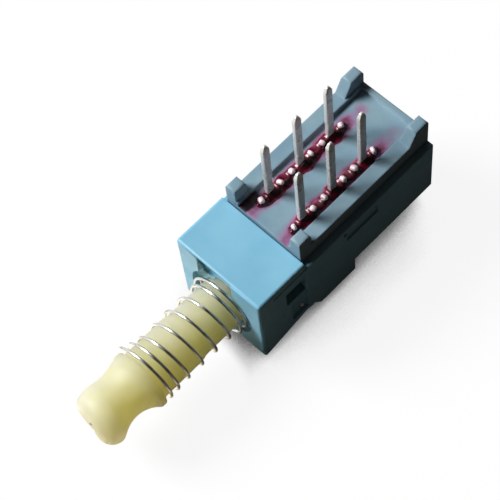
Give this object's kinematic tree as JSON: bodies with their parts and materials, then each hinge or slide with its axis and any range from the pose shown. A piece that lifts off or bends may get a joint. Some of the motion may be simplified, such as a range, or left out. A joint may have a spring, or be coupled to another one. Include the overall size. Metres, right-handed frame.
{
  "type": "latching push switch",
  "caption": "Small latching push switch for circuit boards: moulded housing, sprung plunger with a keyed head, flat solder pins on a tray with stand-off feet.",
  "frame": {"origin": "middle of the flat of the housing's back rail, the face on which the loose switch lies", "axes": "+Z along the solder pins, -Y along the plunger towards the finger, +X towards the side with the latch window"},
  "size_m": [0.0066, 0.0248, 0.013],
  "materials": {
    "housing_plastic": "moulded, satin",
    "base_plastic": "moulded, satin",
    "varnish": "glossy wine-red sealing varnish",
    "plunger_nylon": "natural nylon, slightly translucent",
    "spring_steel": "bright drawn wire",
    "latch_steel": "bright steel",
    "contact_metal": "plain spring alloy",
    "pin_metal": "bright plating"
  },
  "bodies": {
    "case": {"housing": "housing_plastic", "terminal_base": "base_plastic", "terminal_left_front": "pin_metal", "terminal_left_middle": "pin_metal", "terminal_left_rear": "pin_metal", "terminal_right_front": "pin_metal", "terminal_right_middle": "pin_metal", "terminal_right_rear": "pin_metal", "seal_left": "varnish", "seal_right": "varnish", "return_spring": "spring_steel", "latch_leaf_spring": "latch_steel"},
    "plunger": {"plunger": "plunger_nylon", "contact_clip_left": "contact_metal", "contact_clip_right": "contact_metal"},
    "latch": {"latch_wire": "latch_steel"}
  },
  "joints": [
    {"name": "plunger_slide", "type": "slide", "parent": "case", "child": "plunger", "axis": [0, 1, 0], "range_m": [0, 0.003], "stiffness_N_per_m": 350, "springref_m": -0.003, "deforming": ["return_spring"]},
    {"name": "latch_swing", "type": "hinge", "parent": "case", "child": "latch", "pos_m": [0.00263, -0.00553, 0.0026], "axis": [1, 0, 0], "range_deg": [0, 6.34]}
  ],
  "couplings": [
    {"joint": "latch_swing", "follows": "plunger_slide", "rad_per_m": 33.98}
  ]
}
